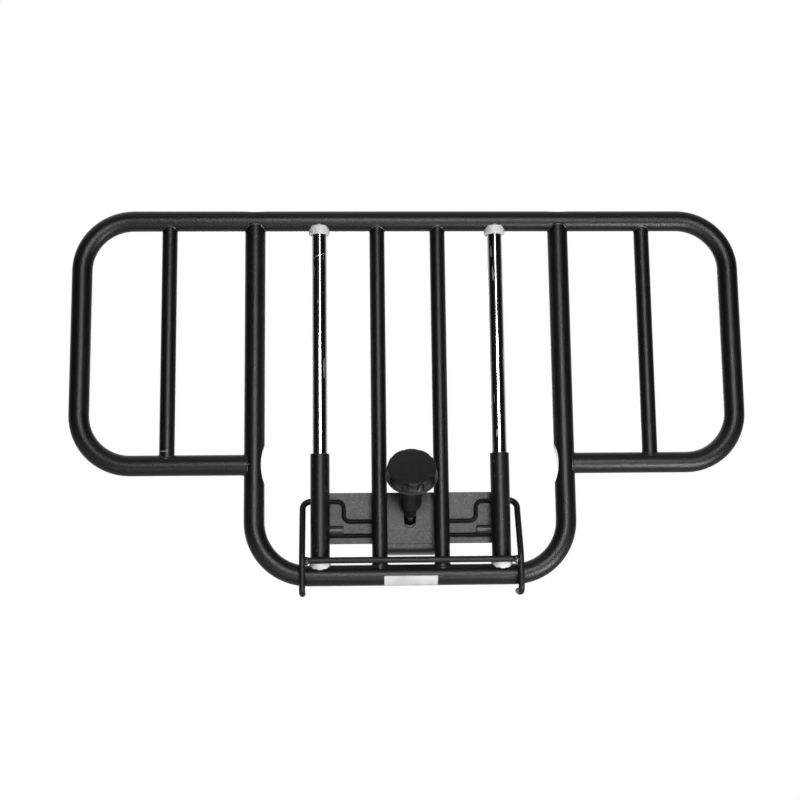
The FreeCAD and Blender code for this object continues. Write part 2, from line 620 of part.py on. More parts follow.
def make_hook_bracket():
    """Bent strip behind the plate: front lap, floor and upright lip."""
    body = new_body("hook_bracket")
    strip = new_sketch(body, "YZ")
    outer_front, outer_low = "-(Size.hook_depth + Size.hook_thickness)", "-Size.hook_thickness"
    top = "Size.plate_rise + Size.hook_weld"
    outline(strip, [(outer_front, top), (outer_front, outer_low), ("Size.hook_thickness", outer_low),
                    ("Size.hook_thickness", "Size.lip_height"), ("0", "Size.lip_height"), ("0", "0"),
                    ("-Size.hook_depth", "0"), ("-Size.hook_depth", top)])
    pad(body, strip, "Size.hook_width", symmetric=True)
    depth, thickness = value("Size.hook_depth"), value("Size.hook_thickness")
    inner = [(0, 0), (-depth, 0)]
    outer = [(thickness, -thickness), (-depth - thickness, -thickness)]

    def bend_edge(places):
        return lambda edge: parallel(edge, ALONG_X) and any(
            math.hypot(edge.CenterOfMass.y - y, edge.CenterOfMass.z - z) < 1e-6 for y, z in places)

    dress(body, "Fillet", bend_edge(inner), "Size.hook_bend")
    dress(body, "Fillet", bend_edge(outer), "Size.hook_bend + Size.hook_thickness")
    lip = value("Size.lip_height")
    dress(body, "Fillet", lambda edge: parallel(edge, ALONG_Y) and abs(edge.CenterOfMass.z - lip) < 1e-6
          and edge.CenterOfMass.y > 0, "Size.hook_corner")
    place(body)


def make_screw_bush():
    """Threaded bush welded behind the slot, square to the screw and cut flush with the plate."""
    def along_screw(label, radius, reach):
        cylinder = doc.addObject("Part::Cylinder", label)
        bind(cylinder, Radius=radius, Height=f"{reach} + 2 * Size.bush_diameter")
        place(cylinder, y=f"{PLATE_FRONT_Y} + {reach} * sin({SCREW_TURN})",
              z=f"{SCREW_Z} - {reach} * cos({SCREW_TURN})", turn=SCREW_TURN)
        return cylinder

    barrel = along_screw("bush_barrel", "Size.bush_diameter / 2", "Size.bush_reach")
    bore_radius = "Size.screw_diameter / 2 + Size.screw_clearance"
    bore = along_screw("bush_bore", bore_radius, "2 * Size.bush_reach")
    mouth = along_screw("bush_mouth", "Size.mouth_diameter / 2", "Size.mouth_reach")
    behind = doc.addObject("Part::Box", "behind_plate")
    bind(behind, Length="4 * Size.bush_diameter", Width="4 * Size.bush_diameter",
         Height="8 * Size.bush_diameter")
    place(behind, x="-2 * Size.bush_diameter", y=PLATE_REAR_Y, z=f"{SCREW_Z} - 4 * Size.bush_diameter")
    trimmed = boolean("Common", "bush_trimmed", barrel, behind)
    hollow = boolean("Fuse", "bush_hollow", bore, mouth)
    boolean("Cut", "screw_bush", trimmed, hollow)


# ---- clamp screw, knob and foot ----

def primitive(body, kind, rise="0", turn=None, **sizes):
    """Additive or subtractive primitive of a body, moved up its Z axis and turned about X."""
    feature = body.newObject(f"PartDesign::{kind}", f"{body.Name}_{kind}")
    bind(feature, **sizes)
    place(feature, z=rise, turn=turn)
    return feature


def make_clamp_screw():
    """Screw with a ball end; its own Z axis runs up the screw from the plate's front."""
    body = new_body("clamp_screw")
    primitive(body, "AdditiveSphere", "-Size.ball_reach", Radius="Size.ball_diameter / 2")
    primitive(body, "AdditiveCylinder", "-Size.ball_reach", Radius="Size.neck_diameter / 2",
              Height="Size.neck_length")
    primitive(body, "AdditiveCylinder", "Size.neck_length - Size.ball_reach",
              Radius="Size.screw_diameter / 2",
              Height="Size.screw_engaged + Size.ball_reach - Size.neck_length")
    place(body, y=PLATE_FRONT_Y, z=SCREW_Z, turn=SCREW_TURN)


def make_knob():
    """Moulded knob: boss with a narrow tip, ringed grip, domed face and a ring of finger recesses."""
    body = new_body("knob")
    half = new_sketch(body, "XZ")
    hole = "Size.screw_diameter / 2"
    corners = [(hole, "Size.knob_start"), ("Size.tip_diameter / 2", "Size.knob_start"),
               ("Size.tip_diameter / 2", "Size.boss_start"), ("Size.boss_diameter / 2", "Size.boss_start"),
               ("Size.boss_diameter / 2", "Size.grip_start"),
               ("Size.grip_diameter / 2", "Size.grip_start"),
               ("Size.grip_diameter / 2", "Size.grip_start + Size.ring_height"),
               ("Size.face_diameter / 2", "Size.face_edge"), ("0", "Size.face_crown"),
               ("0", "Size.screw_engaged"), (hole, "Size.screw_engaged")]
    outline(half, corners, {7: ("x", "0")})
    revolve(body, half)

    def rim(diameter, rise):
        radius, height = value(diameter) / 2, value(rise)
        return lambda edge: is_round(edge, radius) and abs(edge.CenterOfMass.z - height) < 1e-6

    dress(body, "Fillet", rim("Size.face_diameter", "Size.face_edge"), "Size.grip_round")
    dress(body, "Fillet", rim("Size.boss_diameter", "Size.boss_start"), "Size.boss_round")
    flute = new_sketch(body, "XZ")
    low, high = "(Size.grip_start + Size.ring_height)", "(Size.face_edge - Size.flute_top_gap)"
    outline(flute, [("Size.grip_diameter / 2 - Size.flute_depth_low", low),
                    ("Size.grip_diameter", low), ("Size.grip_diameter", high),
                    ("Size.grip_diameter / 2 - Size.flute_depth_high", high)])
    cut = pocket(body, flute, "Size.flute_width")
    pattern = body.newObject("PartDesign::PolarPattern", "knob_flutes")
    pattern.Originals = [cut]
    pattern.Axis = (half, ["V_Axis"])
    pattern.Angle = 360
    bind(pattern, Occurrences="Size.flute_count")
    body.Tip = pattern
    place(body, y=PLATE_FRONT_Y, z=SCREW_Z, turn=SCREW_TURN)


def make_clamp_foot():
    """Swivel foot: a pad that stays upright and a round socket that holds the screw's ball."""
    body = new_body("clamp_foot")
    pad_face = new_sketch(body, "XZ", "-Size.foot_depth")
    circle(pad_face, "Size.foot_diameter / 2")
    pad(body, pad_face, "Size.foot_thickness")
    primitive(body, "AdditiveSphere", Radius="Size.socket_diameter / 2")
    primitive(body, "SubtractiveSphere", Radius="Size.ball_diameter / 2 + Size.socket_clearance")
    primitive(body, "SubtractiveCylinder", Radius="Size.socket_mouth / 2", Height="Size.socket_diameter",
              turn=SCREW_TURN)
    back = f"(Size.ball_reach * sin({SCREW_TURN}))"
    down = f"(Size.ball_reach * cos({SCREW_TURN}))"
    place(body, y=f"{PLATE_FRONT_Y} + {back}", z=f"{SCREW_Z} - {down}")


# ---- bail ----

def wire_through(points, radii):
    """Centre line of straight runs through points, with a tangent arc of its radius at each bend."""
    edges = []
    start = points[0]
    for before, corner, after, radius in zip(points, points[1:], points[2:], radii):
        toward, away = (corner - before).normalize(), (after - corner).normalize()
        half_turn = toward.getAngle(away) / 2
        cut = radius * math.tan(half_turn)
        entry, leave = corner - toward * cut, corner + away * cut
        middle = corner + (away - toward).normalize() * (radius / math.cos(half_turn) - radius)
        edges.append(Part.LineSegment(start, entry).toShape())
        edges.append(Part.Arc(entry, middle, leave).toShape())
        start = leave
    edges.append(Part.LineSegment(start, points[-1]).toShape())
    return Part.Wire(edges)


def make_bail_wires():
    """Side wires: pivot, shoulder, a run forward and down past the sleeve, and the hook."""
    y, z = value(WIRE_Y), value(PIVOT_Z)
    front, low = value(BAIL_Y) - y, value(RAIL_LOW_Z) - z
    rail = value(RAIL_Y) - y
    for name, side in SIDES:
        inner = side * value(f"{ROD_X} - Size.pivot_split")
        across = side * value(BAIL_X)
        points = [FreeCAD.Vector(inner, 0, 0), FreeCAD.Vector(across, 0, 0),
                  FreeCAD.Vector(across, front, low + value("Size.sweep_rise")),
                  FreeCAD.Vector(across, front, low - value("Size.hook_drop")),
                  FreeCAD.Vector(across, rail + value("Size.hook_tip"), low - value("Size.hook_drop"))]
        radii = [value(size) for size in ("Size.bail_bend", "Size.bail_sweep", "Size.hook_round")]
        line = wire_through(points, radii)
        ring = Part.Wire(Part.Circle(points[0], FreeCAD.Vector(side, 0, 0), value(WIRE_R)).toShape())
        feature = doc.addObject("Part::Feature", f"{name}_bail_wire")
        feature.Shape = line.makePipeShell([ring], True, False)
        feature.Placement = FreeCAD.Placement(FreeCAD.Vector(0, y, z), FreeCAD.Rotation())
        feature.Label = f"{name}_bail_wire"


def make_bail_crossbar():
    """Straight wire in front of the bars, coped to the side wires."""
    body = new_body("bail_crossbar")
    section = new_sketch(body, "YZ")
    circle(section, WIRE_R)
    pad(body, section, f"2 * {BAIL_X}", symmetric=True)
    copes = new_sketch(body, "XY")
    for _, side in SIDES:
        circle(copes, WIRE_R, f"{side} * {BAIL_X}")
    pocket(body, copes, "2 * Size.wire_diameter")
    place(body, y=BAIL_Y, z=f"{RAIL_LOW_Z} + Size.crossbar_rise")


make_upper_hoop()
make_u_frame()
make_bars()
make_guide_rods()
make_rod_caps()
make_sleeves()
make_mounting_plate()
make_spacers()
make_spring_arms()
make_wire_clips()
make_hook_bracket()
make_screw_bush()
make_clamp_screw()
make_knob()
make_clamp_foot()
make_bail_wires()
make_bail_crossbar()
doc.recompute()

# ---- check and write ----

for item in doc.Objects:
    if "Invalid" in item.State or "Error" in item.State:
        raise RuntimeError(f"{item.Label} failed to compute: {item.State}")
WHOLE = ("PartDesign::Body", "Part::Feature", "Part::Cut")
pieces = [item for item in doc.Objects if item.TypeId in WHOLE and item not in helpers]
for piece in pieces:
    if piece.Shape.isNull() or not piece.Shape.isValid():
        raise RuntimeError(f"{piece.Label} has no valid shape")
os.makedirs("parts", exist_ok=True)
for piece in pieces:
    piece.Shape.exportStep(f"parts/{piece.Label}.step")
    box = piece.Shape.BoundBox
    print(f"{piece.Label:20s} solids {len(piece.Shape.Solids)} volume {piece.Shape.Volume:10.1f}"
          f"  x {box.XMin:7.1f} {box.XMax:7.1f}  y {box.YMin:7.1f} {box.YMax:7.1f}"
          f"  z {box.ZMin:7.1f} {box.ZMax:7.1f}")
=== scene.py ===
import math

import bpy
from mathutils import Matrix, Vector
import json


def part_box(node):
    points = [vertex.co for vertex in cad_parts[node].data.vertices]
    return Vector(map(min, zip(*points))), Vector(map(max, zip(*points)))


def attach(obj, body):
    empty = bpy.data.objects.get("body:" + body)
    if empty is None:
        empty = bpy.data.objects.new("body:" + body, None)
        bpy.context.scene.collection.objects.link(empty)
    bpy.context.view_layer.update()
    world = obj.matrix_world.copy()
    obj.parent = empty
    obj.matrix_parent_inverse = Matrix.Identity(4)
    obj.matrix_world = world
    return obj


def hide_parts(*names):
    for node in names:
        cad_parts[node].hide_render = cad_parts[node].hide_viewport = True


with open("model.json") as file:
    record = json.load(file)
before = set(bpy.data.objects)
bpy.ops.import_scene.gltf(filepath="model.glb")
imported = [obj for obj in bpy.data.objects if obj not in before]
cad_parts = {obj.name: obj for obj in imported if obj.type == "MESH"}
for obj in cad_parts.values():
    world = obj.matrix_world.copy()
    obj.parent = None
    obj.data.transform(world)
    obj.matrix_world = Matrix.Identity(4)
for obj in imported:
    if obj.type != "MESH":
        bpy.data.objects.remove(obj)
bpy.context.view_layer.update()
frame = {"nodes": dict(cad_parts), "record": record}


# ---- sizes and places, in metres: +X along the rail, +Y towards the bed, +Z up ----

def center_of(node):
    """Middle of a CAD node's box."""
    low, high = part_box(node)
    return [(first + last) / 2 for first, last in zip(low, high)]


QUARTER_TURN = math.pi / 2
UNTURNED = (0, 0, 0)

HOOP_LOW, HOOP_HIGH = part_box("upper_hoop")
U_LOW, U_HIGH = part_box("u_frame")
PLATE_LOW, PLATE_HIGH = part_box("mounting_plate")

TUBE = (HOOP_HIGH[1] - HOOP_LOW[1]) / 2  # outside radius of the bent tubes
BAR = 0.0095  # outside radius of the straight bars
WIRE = 0.0038  # radius of the bail's wires

RAIL_Y = center_of("u_frame")[1]  # the rail's own plane
LEG_X = U_HIGH[0] - TUBE  # the legs' centre lines, on both sides
TOP_Z = HOOP_HIGH[2] - TUBE  # centre line of the top tube
WING_Z = HOOP_LOW[2] + TUBE  # centre line of the wings' lower runs
BOTTOM_Z = U_LOW[2] + TUBE  # centre line of the bottom tube

# The screw's own Z axis runs up the screw, from where it crosses the plate's front.
SCREW_FOOT = Vector((0, PLATE_LOW[1], PLATE_LOW[2] + 0.0335))
SCREW_SLOPE = math.radians(35.0)  # it rises to the front
SCREW_TURN = QUARTER_TURN - SCREW_SLOPE
SCREW_PLACE = Matrix.Translation(SCREW_FOOT) @ Matrix.Rotation(SCREW_TURN, 4, "X")


# ---- shader maths ----

class Value:
    """A shader socket that takes arithmetic, so that a pattern reads as a formula."""

    def __init__(self, paint, socket):
        self.paint = paint
        self.socket = socket

    def math(self, operation, first, second=None):
        return self.paint.node("ShaderNodeMath", 0, {"operation": operation}, first, second)

    def __add__(self, other):
        return self.math("ADD", self, other)

    def __radd__(self, other):
        return self.math("ADD", other, self)

    def __sub__(self, other):
        return self.math("SUBTRACT", self, other)

    def __rsub__(self, other):
        return self.math("SUBTRACT", other, self)

    def __mul__(self, other):
        return self.math("MULTIPLY", self, other)

    def __rmul__(self, other):
        return self.math("MULTIPLY", other, self)

    def __abs__(self):
        return self.math("ABSOLUTE", self)

    def climb(self, low, high, start=0.0, end=1.0):
        """Straight climb from start to end as the value goes from low to high, held outside."""
        return self.paint.node("ShaderNodeMapRange", 0, {"clamp": True}, self, low, high, start, end)

    def under(self, limit, edge):
        """Mask that is 1 up to the limit and fades out over a soft edge past it."""
        return self.climb(limit, limit + edge, 1.0, 0.0)


class Paint:
    """The nodes of a new material, or of another owner such as the world."""

    def __init__(self, name, owner=None):
        self.name = name
        self.owner = owner or bpy.data.materials.new(name)
        self.owner.use_nodes = True
        self.tree = self.owner.node_tree

    def feed(self, target, given):
        """Link a value to a socket, or set the socket to a number, vector or colour."""
        if isinstance(given, Value):
            self.tree.links.new(given.socket, target)
        elif isinstance(given, tuple) and target.type == "RGBA":
            target.default_value = (*given, 1)
        elif given is not None:
            target.default_value = given

    def node(self, kind, output, settings=None, *values, **named):
        """Add a node: its settings first, then the values or links of its sockets."""
        made = self.tree.nodes.new(kind)
        for key, setting in (settings or {}).items():
            setattr(made, key, setting)
        for number, given in enumerate(values):
            self.feed(made.inputs[number], given)
        for key, given in named.items():
            self.feed(made.inputs[key.replace("_", " ")], given)
        return Value(self, made.outputs[output])

    def place(self, stretch=(1, 1, 1), turn=(0, 0, 0), shift=(0, 0, 0)):
        """The piece's own coordinates, in metres, stretched, turned and shifted."""
        own = self.node("ShaderNodeTexCoord", "Object")
        return self.node("ShaderNodeMapping", 0, None, own, shift, turn, stretch)

    def axis(self, letter, place=None):
        """One of the coordinates of a place."""
        return self.node("ShaderNodeSeparateXYZ", letter, None, place or self.place())

    def noise(self, scale, detail, roughness=0.5, place=None):
        return self.node("ShaderNodeTexNoise", "Fac", None, Vector=place or self.place(), Scale=scale,
                         Detail=detail, Roughness=roughness)

    def cells(self, scale):
        """Distance from the middle of the nearest of many scattered cells."""
        return self.node("ShaderNodeTexVoronoi", "Distance", None, Vector=self.place(), Scale=scale)

    def away_from(self, spot):
        """Distance from a spot on the piece."""
        return self.node("ShaderNodeVectorMath", "Value", {"operation": "DISTANCE"}, self.place(), spot)

    def mix(self, mask, first, second):
        """Colour that goes from first to second with the mask."""
        made = self.tree.nodes.new("ShaderNodeMix")
        made.data_type = "RGBA"
        for number, given in ((0, mask), (6, first), (7, second)):
            self.feed(made.inputs[number], given)
        return Value(self, made.outputs[2])

    def relief(self, height, depth, strength):
        """Normal from a height, where 1 stands for depth in metres."""
        return self.node("ShaderNodeBump", 0, None, Strength=strength, Distance=depth, Height=height)

    def finish(self, **sockets):
        """Set or link the material's shader sockets; an underscore stands for a space."""
        shader = self.tree.nodes["Principled BSDF"]
        for name, given in sockets.items():
            self.feed(shader.inputs[name.replace("_", " ")], given)
        return self


def grey(tone):
    return (tone, tone, tone)


# ---- finishes ----

def powder_coat(name, shade, gloss, pale, speckle=0.12, shine=0.3, depth=0.0004, chip=None, painted_glints=()):
    """Textured black powder coat: orange-peel skin, paler grains and stray specks.

    A chip is (spot, radius); a painted glint is (x, z, half length): a pale line painted as a highlight,
    which runs along the rail.
    """
    paint = Paint(name)
    peel = paint.noise(scale=640.0, detail=2.0, roughness=0.6)
    pimples = paint.noise(scale=1100.0, detail=1.0)
    patches = paint.noise(scale=190.0, detail=0.0).climb(0.56, 0.62)
    specks = paint.cells(scale=300.0).under(0.14, edge=0.1) * patches
    color = paint.mix(peel.climb(0.47, 0.68), shade, grey(pale))
    color = paint.mix(specks * speckle, color, (0.16, 0.16, 0.158))
    rough = peel.climb(0.3, 0.7, gloss + 0.07, gloss - 0.07)
    if chip:
        spot, radius = chip
        bare = (paint.away_from(spot) + pimples * 0.0012).under(radius, edge=0.0003)
        color = paint.mix(bare, color, grey(0.0))
        rough = rough + 0.3 * bare
    # Painted highlights: thin pale lines in the colour that stand in for glints of light.
    for x, z, half in painted_glints:
        off_line = abs(paint.axis("Z") - z + pimples * 0.0004)
        off_middle = abs(paint.axis("X") - x)
        glint = off_line.under(0.0003, edge=0.0005) * off_middle.under(half, edge=0.0006)
        color = paint.mix(glint * 0.8, color, grey(0.22))
    skin = paint.relief(peel * 0.75 + pimples * 0.25, depth, strength=0.9)
    return paint.finish(Base_Color=color, Roughness=rough, Specular_IOR_Level=shine, Normal=skin)


def chrome(name, scratch):
    """Bright plating with drawing lines along the rod, fine marks and one slanted scratch.

    The scratch is (x, z, slope), on the left rod.
    """
    paint = Paint(name)
    drawing = paint.noise(scale=700.0, detail=2.0, place=paint.place(stretch=(1, 1, 0.02)))
    smear = paint.noise(scale=30.0, detail=3.0, place=paint.place(stretch=(1, 1, 0.4)))
    slanted = paint.place(stretch=(1, 1, 0.12), turn=(0.0, 0.5, 0.0))
    marks = paint.noise(scale=260.0, detail=0.0, place=slanted).climb(0.745, 0.76)
    x = paint.axis("X")
    scratch_x, scratch_z, slope = scratch
    off_scratch = abs(paint.axis("Z") - slope * (x - scratch_x) - scratch_z + drawing * 0.0006)
    on_left_rod = x.under(-0.02, edge=0.01)
    marks = marks + off_scratch.under(0.0004, edge=0.0005) * on_left_rod
    color = paint.mix(marks, (0.78, 0.785, 0.79), grey(0.9))
    rough = smear.climb(0.35, 0.75, 0.045, 0.1) + 0.3 * marks
    lines = paint.relief(drawing, depth=0.000004, strength=0.35)
    return paint.finish(Base_Color=color, Metallic=1.0, Roughness=rough, Normal=lines)


def cap_plastic(name):
    """Off-white moulded nylon, a little greyer where it is handled, with fine specks."""
    paint = Paint(name)
    cloud = paint.noise(scale=160.0, detail=3.0)
    specks = paint.noise(scale=900.0, detail=1.0).climb(0.70, 0.78)
    color = paint.mix(cloud.climb(0.35, 0.7), (0.50, 0.50, 0.49), (0.42, 0.42, 0.41))
    color = paint.mix(specks * 0.35, color, (0.35, 0.34, 0.32))
    rough = cloud.climb(0.3, 0.7, 0.38, 0.5)
    skin = paint.relief(cloud, depth=0.00005, strength=0.4)
    return paint.finish(Base_Color=color, Roughness=rough, Normal=skin)


def moulded_plastic(name, shade, gloss, shine=0.4, painted_sheen_rim=None):
    """Black moulded plastic with a spark-eroded grain, faint flow marks and a few rubbed spots.

    A painted sheen rim is (inner radius, outer radius) round the screw's line: outside it the plastic is
    painted paler as a painted highlight on the ribs, and is duller.
    """
    paint = Paint(name)
    grain = paint.noise(scale=700.0, detail=2.0)
    flow = paint.noise(scale=55.0, detail=3.0, place=paint.place(stretch=(1, 1, 2.2)))
    rubbed = paint.noise(scale=380.0, detail=1.0).climb(0.66, 0.76)
    color = paint.mix(flow.climb(0.3, 0.75), shade, tuple(1.9 * part for part in shade))
    color = paint.mix(rubbed * 0.4, color, grey(0.06))
    rough = flow.climb(0.3, 0.7, gloss - 0.05, gloss + 0.06)
    # Painted highlight: the ribs outside the rim are painted paler, as if they caught the light.
    if painted_sheen_rim:
        inner, outer = painted_sheen_rim
        foot = Matrix.Rotation(-SCREW_TURN, 3, "X") @ SCREW_FOOT
        on_screw = paint.place(turn=(-SCREW_TURN, 0, 0), shift=tuple(-foot))
        across = paint.axis("X", on_screw)
        up = paint.axis("Y", on_screw)
        rim = (across * across + up * up).climb(inner ** 2, outer ** 2)
        color = paint.mix(rim, color, grey(0.02))
        rough = rough + 0.12 * rim
    skin = paint.relief(grain, depth=0.0001, strength=0.6)
    return paint.finish(Base_Color=color, Roughness=rough, Specular_IOR_Level=shine, Normal=skin)


def zinc_plate(name, pale, dull):
    """Dull zinc on turned steel, with rings from the lathe."""
    paint = Paint(name)
    rings = paint.noise(scale=2600.0, detail=1.0, place=paint.place(stretch=(0.05, 1, 1)))
    stain = paint.noise(scale=120.0, detail=4.0)
    color = paint.mix(stain.climb(0.35, 0.7), pale, dull)
    rough = stain.climb(0.3, 0.7, 0.3, 0.45)
    skin = paint.relief(rings, depth=0.00001, strength=0.4)
    return paint.finish(Base_Color=color, Metallic=1.0, Roughness=rough, Normal=skin)


def foil(name):
    """Bare metallised label film with a fine brushed grain and faint creases."""
    paint = Paint(name)
    brushed = paint.noise(scale=1400.0, detail=2.0, place=paint.place(stretch=(0.04, 1, 1)))
    creases = paint.noise(scale=70.0, detail=3.0)
    color = paint.mix(creases.climb(0.35, 0.7), grey(0.41), grey(0.33))
    rough = brushed.climb(0.3, 0.7, 0.34, 0.44)
    skin = paint.relief(creases, depth=0.00008, strength=0.5)
    return paint.finish(Base_Color=color, Roughness=rough, Normal=skin)


# Small marks on the rail: painted highlight lines round a wing bar's foot and on a leg beside its wing, a
# chip on the plate, a scratch on a rod.
WING_BAR_GLINT = (center_of("left_wing_bar")[0] - 0.0066, WING_Z + 0.017, 0.009)
LEG_GLINT = (-LEG_X - 0.0078, WING_Z, 0.002)
PLATE_CHIP = ((0.0259, PLATE_LOW[1], PLATE_LOW[2] + 0.0054), 0.0011)
ROD_SCRATCH = (center_of("left_guide_rod")[0], 0.3665, 0.38)

FINISHES = {paint.name: paint.owner for paint in (
    powder_coat("frame_black", (0.0015, 0.0015, 0.0016), gloss=0.33, pale=0.005,
                painted_glints=(WING_BAR_GLINT, LEG_GLINT)),
    powder_coat("weld_black", (0.004, 0.004, 0.0041), gloss=0.24, pale=0.012, speckle=0.3, shine=0.6),
    powder_coat("bracket_black", (0.003, 0.003, 0.0031), gloss=0.44, pale=0.014, speckle=0.5, shine=0.45,
                depth=0.0002, chip=PLATE_CHIP),
    powder_coat("sleeve_black", (0.002, 0.002, 0.0021), gloss=0.35, pale=0.007, speckle=0.6),
    powder_coat("wire_black", (0.003, 0.003, 0.0031), gloss=0.38, pale=0.006, speckle=0.1, shine=0.25),
    powder_coat("arm_black", grey(0.0015), gloss=0.55, pale=0.003, speckle=0.1, shine=0.12),
    # Painted shade: near-black for the bush seen through the plate's slot, standing in for the shadow inside
    # it.
    powder_coat("painted_shade_black", grey(0.0005), gloss=0.5, pale=0.001, speckle=0.0, shine=0.04),
    # Painted highlight: a paler coat for the wire clips and the slot's lip, standing in for the light they
    # catch.
    powder_coat("painted_highlight_coat", grey(0.012), gloss=0.32, pale=0.03, speckle=0.3, shine=0.5),
    foil("label_foil"),
    zinc_plate("cut_steel", pale=grey(0.5), dull=grey(0.36)),
    chrome("rod_chrome", ROD_SCRATCH),
    cap_plastic("cap_white"),
    moulded_plastic("bush_plastic", grey(0.02), gloss=0.42),
    moulded_plastic("knob_black", (0.0025, 0.0025, 0.0026), gloss=0.44, shine=0.28,
                    painted_sheen_rim=(0.0298, 0.0308)),
    zinc_plate("screw_zinc", pale=(0.12, 0.12, 0.122), dull=(0.06, 0.06, 0.061)),
    moulded_plastic("foot_plastic", grey(0.012), gloss=0.5),
)}

# Nodes with a finish of their own: the spring arms duller than their slot, the screw bush near-black as
# painted shade, and the wire clips paler as a painted highlight.
OWN_FINISH = {
    "left_spring_arm": "arm_black",
    "right_spring_arm": "arm_black",
    "screw_bush": "painted_shade_black",
    "left_wire_clip": "painted_highlight_coat",
    "right_wire_clip": "painted_highlight_coat",
}


def finish_cad_nodes():
    """Give each CAD node the finish of its material slot, or its own."""
    slots = {part["node"]: part["material_slot"] for part in frame["record"]["subparts"]}
    for name, node in frame["nodes"].items():
        node.data.materials.clear()
        node.data.materials.append(FINISHES[OWN_FINISH.get(name, slots[name])])


# ---- modelling by hand ----

def select_only(piece):
    bpy.ops.object.select_all(action="DESELECT")
    piece.select_set(True)
    bpy.context.view_layer.objects.active = piece


def add_piece(primitive, **settings):
    """A new primitive, added with nothing else selected."""
    bpy.ops.object.select_all(action="DESELECT")
    primitive(**settings)
    return bpy.context.active_object


def settle(piece, spot=(0, 0, 0), turn=UNTURNED):
    """Turn and move a piece, then leave its place in its mesh."""
    select_only(piece)
    piece.rotation_euler = turn
    piece.location = spot
    bpy.ops.object.transform_apply(location=True, rotation=True, scale=True)


def edit_all(piece, operator, **settings):
    """Run one edit-mode operator on a piece's whole mesh."""
    select_only(piece)
    bpy.ops.object.mode_set(mode="EDIT")
    bpy.ops.mesh.select_all(action="SELECT")
    operator(**settings)
    bpy.ops.object.mode_set(mode="OBJECT")


def apply_modifier(piece, kind, **settings):
    """Add a modifier, set it and apply it."""
    select_only(piece)
    modifier = piece.modifiers.new(kind.lower(), kind)
    for key, setting in settings.items():
        setattr(modifier, key, setting)
    bpy.ops.object.modifier_apply(modifier=modifier.name)


def smooth(piece, degrees):
    select_only(piece)
    bpy.ops.object.shade_smooth_by_angle(angle=math.radians(degrees))


def rough_up(piece, depth, grain):
    """Uneven, molten surface of a weld."""
    lumps = bpy.data.textures.new(f"{piece.name}_lumps", "CLOUDS")
    lumps.noise_scale = grain
    lumps.noise_depth = 2
    apply_modifier(piece, "DISPLACE", texture=lumps, strength=depth, mid_level=0.5)


def copy_piece(piece):
    """A copy with its own mesh."""
    made = piece.copy()
    made.data = piece.data.copy()
    bpy.context.scene.collection.objects.link(made)
    return made


def copy_cad_node(name):
    """A merged copy of a CAD node, off its body, ready to be reworked."""
    piece = copy_piece(frame["nodes"][name])
    piece.parent = None
    edit_all(piece, bpy.ops.mesh.remove_doubles, threshold=0.00001)
    return piece


def round_body(radius, length, spot, turn=UNTURNED):
    """A plain round body, to cut with or to be cut."""
    made = add_piece(bpy.ops.mesh.primitive_cylinder_add, vertices=96, radius=radius, depth=length)
    settle(made, spot, turn)
    return made


def discard(*pieces):
    for piece in pieces:
        bpy.data.objects.remove(piece)


def cut_with(piece, cutter):
    apply_modifier(piece, "BOOLEAN", operation="DIFFERENCE", object=cutter, solver="EXACT")
    discard(cutter)


def finish_piece(piece, name, finish, body):
    """Name a finished piece, paint it and let it ride on its body."""
    piece.name = name
    piece.data.name = name
    piece.data.materials.clear()
    piece.data.materials.append(FINISHES[finish])
    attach(piece, body)


def set_out(pattern, places, finish, body):
    """Finished copies of a pattern, one at each (name, spot, turn)."""
    for name, spot, turn in places:
        piece = copy_piece(pattern)
        settle(piece, spot, turn)
        finish_piece(piece, name, finish, body)


# ---- welds ----

def weld_ring(member, bead, blunt):
    """Bead round a member that stands on a tube.

    It follows the tube's round side, down to the height where the member's end is trimmed blunt.
    """
    sunk = 0.0002
    ring = add_piece(bpy.ops.mesh.primitive_torus_add, major_radius=member - sunk, minor_radius=bead,
                     major_segments=120, minor_segments=12)
    for corner in ring.data.vertices:
        saddle = math.sqrt(max(TUBE ** 2 - corner.co.y ** 2, 0.0))
        corner.co.z += max(saddle, blunt)
    rough_up(ring, depth=0.0005, grain=0.0035)
    smooth(ring, 60.0)
    return ring


def rail_welds():
    """Beads at the ends of the bars, at the legs' tops and at the wings' ends."""
    bar_ring = weld_ring(BAR, bead=0.0010, blunt=0.0)
    leg_ring = weld_ring(TUBE, bead=0.0011, blunt=0.0067)
    wing_ring = weld_ring(TUBE, bead=0.0011, blunt=0.0080)
    upside_down = (math.pi, 0, 0)
    for side, name in ((-1, "left"), (1, "right")):
        outward = (0, side * QUARTER_TURN, 0)
        bar_ends = []
        for bar, foot in (("center_bar", BOTTOM_Z), ("wing_bar", WING_Z)):
            x = center_of(f"{name}_{bar}")[0]
            bar_ends.append((f"{name}_{bar}_foot_weld", (x, RAIL_Y, foot), UNTURNED))
            bar_ends.append((f"{name}_{bar}_top_weld", (x, RAIL_Y, TOP_Z), upside_down))
        leg_top = (f"{name}_leg_weld", (side * LEG_X, RAIL_Y, TOP_Z), upside_down)
        wing_end = (f"{name}_wing_weld", (side * LEG_X, RAIL_Y, WING_Z), outward)
        for ring, places in ((bar_ring, bar_ends), (leg_ring, [leg_top]), (wing_ring, [wing_end])):
            set_out(ring, places, "weld_black", "rail")
    discard(bar_ring, leg_ring, wing_ring)


